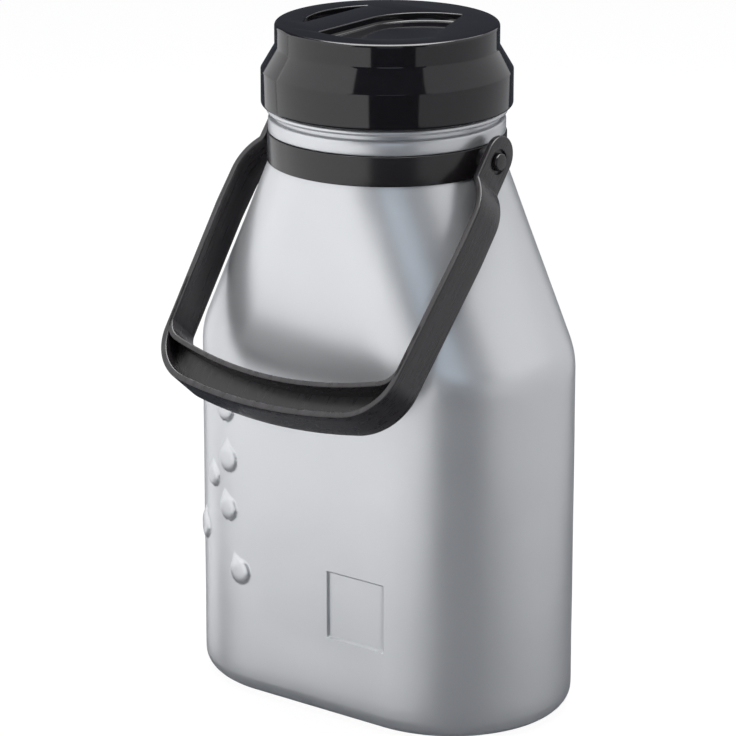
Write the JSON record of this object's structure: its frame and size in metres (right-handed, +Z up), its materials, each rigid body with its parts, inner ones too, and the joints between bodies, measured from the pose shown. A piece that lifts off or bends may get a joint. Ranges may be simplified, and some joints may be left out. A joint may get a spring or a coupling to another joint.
{
  "type": "plastic milk can",
  "caption": "Stadium-shaped plastic milk can with a round neck, black screw lid and a bail handle hinged on a neck band.",
  "frame": {"origin": "centre of the flat base, on the ground plane", "axes": "+Z up along the can, X along the long side, -Y towards the flat front with the square recess, over which the bail handle hangs"},
  "size_m": [0.1531, 0.1246, 0.2552],
  "materials": {
    "can": "satin silver-grey moulded plastic",
    "band": "satin black plastic",
    "lid": "glossy black plastic",
    "handle": "satin black plastic, faint lengthwise grain"
  },
  "bodies": {
    "can": {"can_body": "can", "neck_band": "band", "lid": "lid"},
    "bail": {"handle": "handle"}
  },
  "joints": [
    {"name": "handle_swing", "type": "hinge", "parent": "can", "child": "bail", "pos_m": [0, 0, 0.2103], "axis": [-1, 0, 0], "range_deg": [0, 280]}
  ]
}
